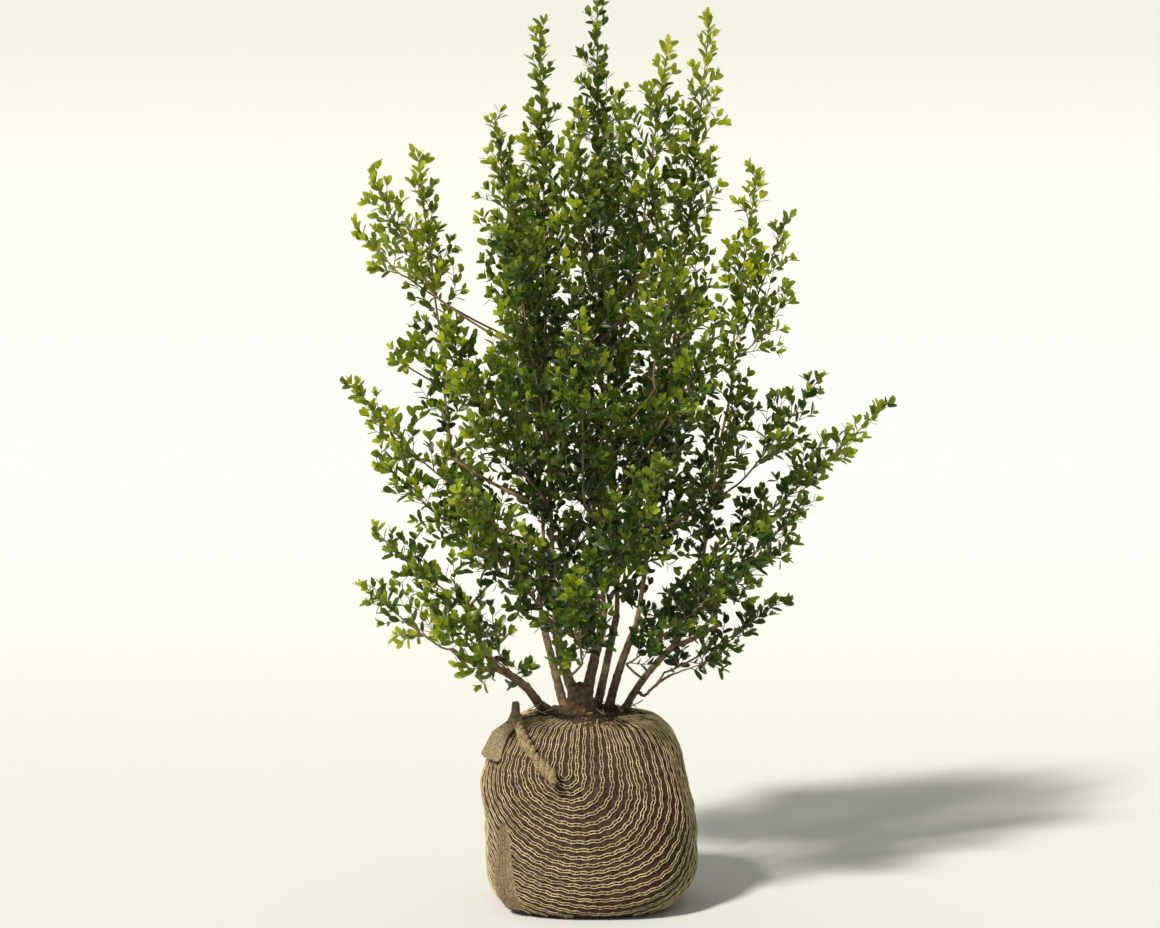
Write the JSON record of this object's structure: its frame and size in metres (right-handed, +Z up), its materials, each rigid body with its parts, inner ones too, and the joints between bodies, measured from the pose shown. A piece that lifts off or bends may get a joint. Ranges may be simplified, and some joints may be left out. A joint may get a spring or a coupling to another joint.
{
  "type": "root-balled green hedge japanese holly",
  "caption": "Upright small-leaved evergreen holly shrub with open feathery plumes of foliage on forked stems, standing on its netted root ball.",
  "frame": {"origin": "middle of the flat underside of the root ball, level with the ground it stands on", "axes": "+Z up along the stems, +X to the picture's right, +Y to the back"},
  "size_m": [0.7054, 0.5162, 1.195],
  "materials": {
    "netted_soil": "damp soil in an open knitted net",
    "soil": "crumbly soil",
    "netting": "knitted yarn",
    "bark": "thin grey-brown bark",
    "foliage": "glossy small leaves"
  },
  "bodies": {
    "root": {"root_ball": "netted_soil", "soil_top": "soil", "wrap_twist": "netting", "wrap_flap": "netting", "wrap_fold": "netting", "trunk_base": "bark", "stem_leader": "bark", "stem_centre_left": "bark", "stem_right": "bark", "stem_left": "bark", "stem_back_left": "bark", "stem_back_right": "bark", "stem_low_right": "bark", "twig_low_right": "bark", "bough_left_up": "bark", "bough_left_low": "bark", "bough_right_up": "bark", "bough_right_low": "bark", "plume_leader": "foliage", "plume_top_left": "foliage", "plume_top_right": "foliage", "plume_back_right_top": "foliage", "plume_back_left_top": "foliage", "plume_far_left": "foliage", "plume_far_right": "foliage", "plume_centre_right": "foliage", "plume_shoulder_left": "foliage", "plume_front_top": "foliage", "plume_left_outer": "foliage", "plume_left_side": "foliage", "plume_left_high": "foliage", "plume_left_mid": "foliage", "plume_left_low": "foliage", "plume_left_lower": "foliage", "plume_left_skirt": "foliage", "plume_right_outer": "foliage", "plume_right_high": "foliage", "plume_right_upper": "foliage", "plume_right_long": "foliage", "plume_right_low": "foliage", "plume_right_lower": "foliage", "plume_right_skirt": "foliage", "plume_low_twig": "foliage", "plume_high_1": "foliage", "plume_high_2": "foliage", "plume_high_3": "foliage", "plume_mid_1": "foliage", "plume_mid_2": "foliage", "plume_mid_3": "foliage", "plume_mid_4": "foliage", "plume_mid_5": "foliage", "plume_low_1": "foliage", "plume_low_2": "foliage", "plume_low_3": "foliage", "plume_low_4": "foliage", "plume_low_5": "foliage", "plume_skirt_1": "foliage", "plume_skirt_2": "foliage", "plume_skirt_3": "foliage", "plume_skirt_4": "foliage"}
  },
  "joints": []
}
